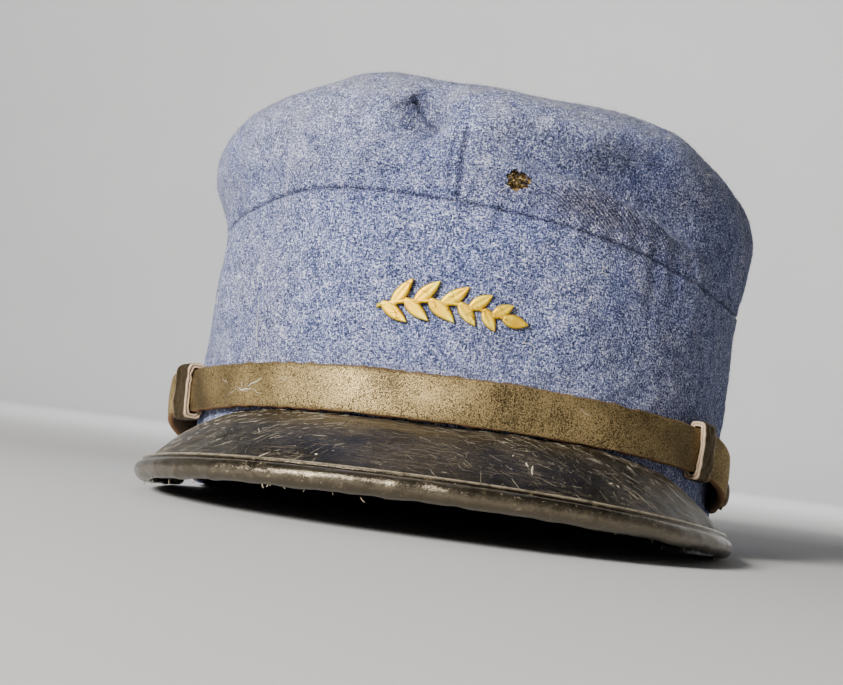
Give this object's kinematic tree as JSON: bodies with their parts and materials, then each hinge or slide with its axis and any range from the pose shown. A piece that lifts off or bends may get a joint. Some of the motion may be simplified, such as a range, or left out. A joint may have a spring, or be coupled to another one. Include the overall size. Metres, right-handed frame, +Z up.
{
  "type": "kepi cap",
  "caption": "Worn wool kepi cap with a dented soft crown, a curved black leather peak with a rolled edge, a leather chin strap on side buttons and a gold sprig applique.",
  "frame": {"origin": "middle of the cap's footprint, on the surface that it rests on", "axes": "+Z up, -Y towards the peak, +X to the right as seen from the front"},
  "size_m": [0.167, 0.2438, 0.1201],
  "materials": {
    "wool": "felted blue-grey melange wool, matt, slightly fuzzy",
    "peak_leather": "black varnished leather, scratched and cracked",
    "binding_leather": "black leather rolled edge, worn brown along its ridges",
    "strap_leather": "grained brown leather, polished by wear, pale raw edges",
    "button_brass": "dull tarnished brass",
    "gold_applique": "gold-yellow stiff applique with fine cracks"
  },
  "bodies": {
    "root": {"band": "wool", "crown": "wool", "top": "wool", "peak": "peak_leather", "peak_binding": "binding_leather", "chin_strap": "strap_leather", "keeper_left": "strap_leather", "keeper_right": "strap_leather", "button_left": "button_brass", "button_right": "button_brass", "emblem": "gold_applique"}
  },
  "joints": []
}
